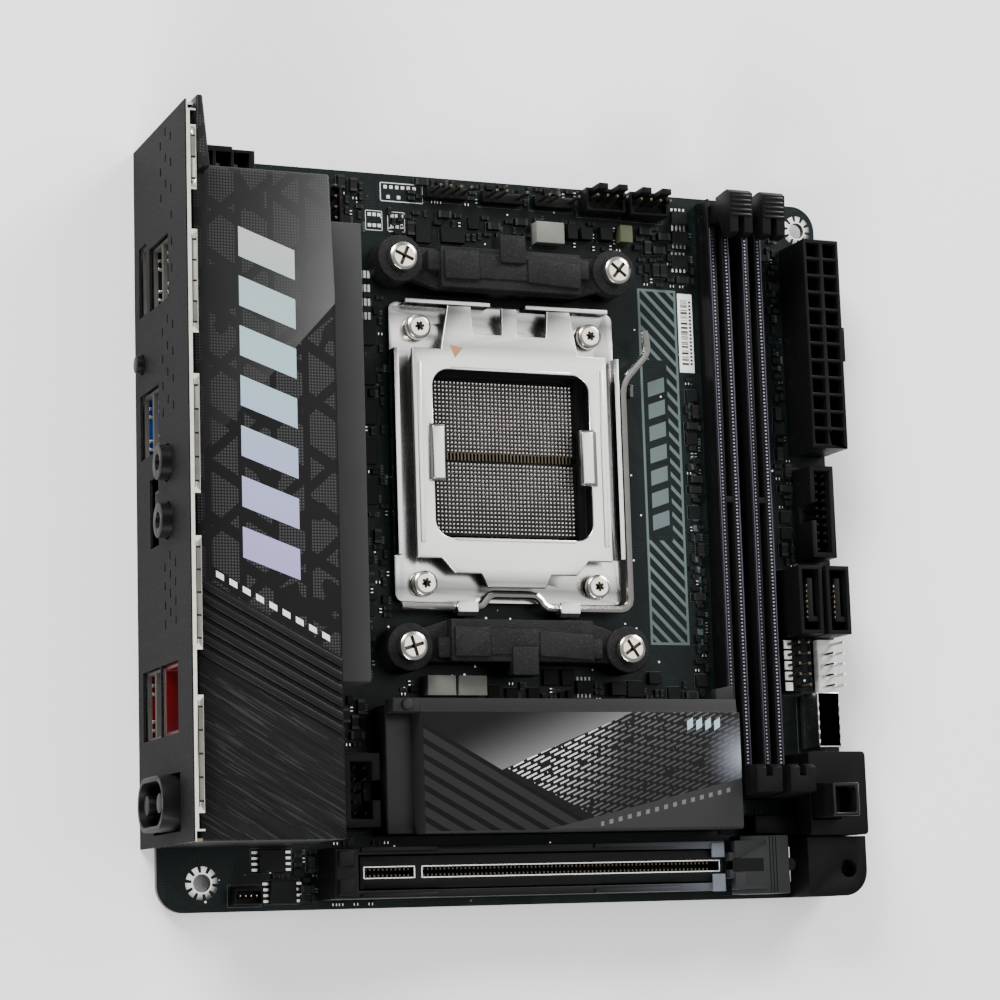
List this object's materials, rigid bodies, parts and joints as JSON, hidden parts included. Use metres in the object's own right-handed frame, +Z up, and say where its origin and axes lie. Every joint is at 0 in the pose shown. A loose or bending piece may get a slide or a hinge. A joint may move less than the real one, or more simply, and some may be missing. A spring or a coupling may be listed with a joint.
{
  "type": "computer motherboard",
  "caption": "Small square computer motherboard with processor socket, memory slots, card slot, rear ports, power connectors, drive heatsink and a tall rear port cover.",
  "frame": {"origin": "middle of the underside of the bounding box", "axes": "+X from the rear ports towards the memory side, +Y from the expansion slot towards the processor power connector, +Z up out of the component side"},
  "size_m": [0.1762, 0.1726, 0.0434],
  "materials": {
    "board": "dark solder mask, satin",
    "black_plastic": "moulded, slightly textured",
    "white_plastic": "moulded, satin",
    "red_plastic": "moulded, satin",
    "black_metal": "black coating, satin",
    "cover_metal": "black anodised with printed pattern",
    "shield_metal": "dark coated sheet with bare rims",
    "grey_aluminium": "bead-blasted grey",
    "steel": "bright plated sheet",
    "port_steel": "plated shell"
  },
  "bodies": {
    "board": {"circuit_board": "board", "socket_backplate": "black_metal", "rear_edge_strip": "black_plastic", "socket_housing": "black_plastic", "socket_frame": "steel", "cooler_bracket_back": "black_plastic", "cooler_bracket_front": "black_plastic", "vrm_heatsink": "grey_aluminium", "io_cover": "cover_metal", "display_port": "port_steel", "usb_port_pair_black": "port_steel", "usb_port_pair_blue": "port_steel", "usb_c_port": "port_steel", "usb_port_pair_red": "port_steel", "network_port": "red_plastic", "audio_jacks": "black_plastic", "wireless_plug": "black_plastic", "io_shield": "shield_metal", "board_power_connector": "black_plastic", "processor_power_connector": "black_plastic", "memory_slot_1": "black_plastic", "memory_slot_2": "black_plastic", "expansion_slot": "black_plastic", "slot_armour": "black_metal", "button_housing": "black_plastic", "corner_block": "black_plastic", "drive_heatsink": "cover_metal", "chipset_heatsink": "black_metal", "audio_header": "black_plastic", "usb_header": "black_plastic", "front_panel_header": "white_plastic", "speaker_header": "black_plastic", "led_header": "black_plastic", "rgb_header_1": "black_plastic", "rgb_header_2": "black_plastic", "case_fan_header": "black_plastic", "pump_fan_header": "black_plastic", "processor_fan_header": "black_plastic", "usb_c_header": "steel", "drive_port_1": "black_plastic", "drive_port_2": "black_plastic", "port_fan_header": "black_plastic", "socket_screw_1": "steel", "cooler_screw_1": "steel", "socket_screw_2": "steel", "cooler_screw_2": "steel", "socket_screw_3": "steel", "cooler_screw_3": "steel", "socket_screw_4": "steel", "cooler_screw_4": "steel"},
    "load_plate": {"load_plate": "steel"},
    "load_lever": {"load_lever": "steel"},
    "memory_latch_1": {"memory_latch_1": "black_plastic"},
    "memory_latch_2": {"memory_latch_2": "black_plastic"},
    "slot_latch": {"slot_latch": "black_plastic"},
    "release_link": {"release_link": "black_plastic"},
    "release_button": {"release_button": "black_plastic"},
    "rear_button": {"rear_button": "black_plastic"}
  },
  "joints": [
    {"name": "lever_hinge", "type": "hinge", "parent": "board", "child": "load_lever", "pos_m": [0.0023, -0.0187, 0.00837], "axis": [1, 0, 0], "range_deg": [0, 115]},
    {"name": "plate_hinge", "type": "hinge", "parent": "board", "child": "load_plate", "pos_m": [0.0023, 0.0514, 0.01107], "axis": [-1, 0, 0], "range_deg": [0, 100]},
    {"name": "memory_latch_1_hinge", "type": "hinge", "parent": "board", "child": "memory_latch_1", "pos_m": [0.0579, 0.0779, 0.00747], "axis": [-1, 0, 0], "range_deg": [0, 28]},
    {"name": "memory_latch_2_hinge", "type": "hinge", "parent": "board", "child": "memory_latch_2", "pos_m": [0.0666, 0.0779, 0.00747], "axis": [-1, 0, 0], "range_deg": [0, 28]},
    {"name": "button_slide", "type": "slide", "parent": "board", "child": "release_button", "axis": [0, 0, -1], "range_m": [0, 0.003], "stiffness_N_per_m": 400},
    {"name": "link_slide", "type": "slide", "parent": "board", "child": "release_link", "axis": [-1, 0, 0], "range_m": [0, 0.002]},
    {"name": "slot_latch_hinge", "type": "hinge", "parent": "board", "child": "slot_latch", "pos_m": [0.0632, -0.0787, 0.00667], "axis": [0, 1, 0], "range_deg": [0, 10]},
    {"name": "rear_button_slide", "type": "slide", "parent": "board", "child": "rear_button", "axis": [1, 0, 0], "range_m": [0, 0.0008], "stiffness_N_per_m": 600}
  ],
  "couplings": [
    {"joint": "link_slide", "follows": "button_slide", "ratio": 0.6666},
    {"joint": "slot_latch_hinge", "follows": "button_slide", "rad_per_m": 58.17}
  ]
}
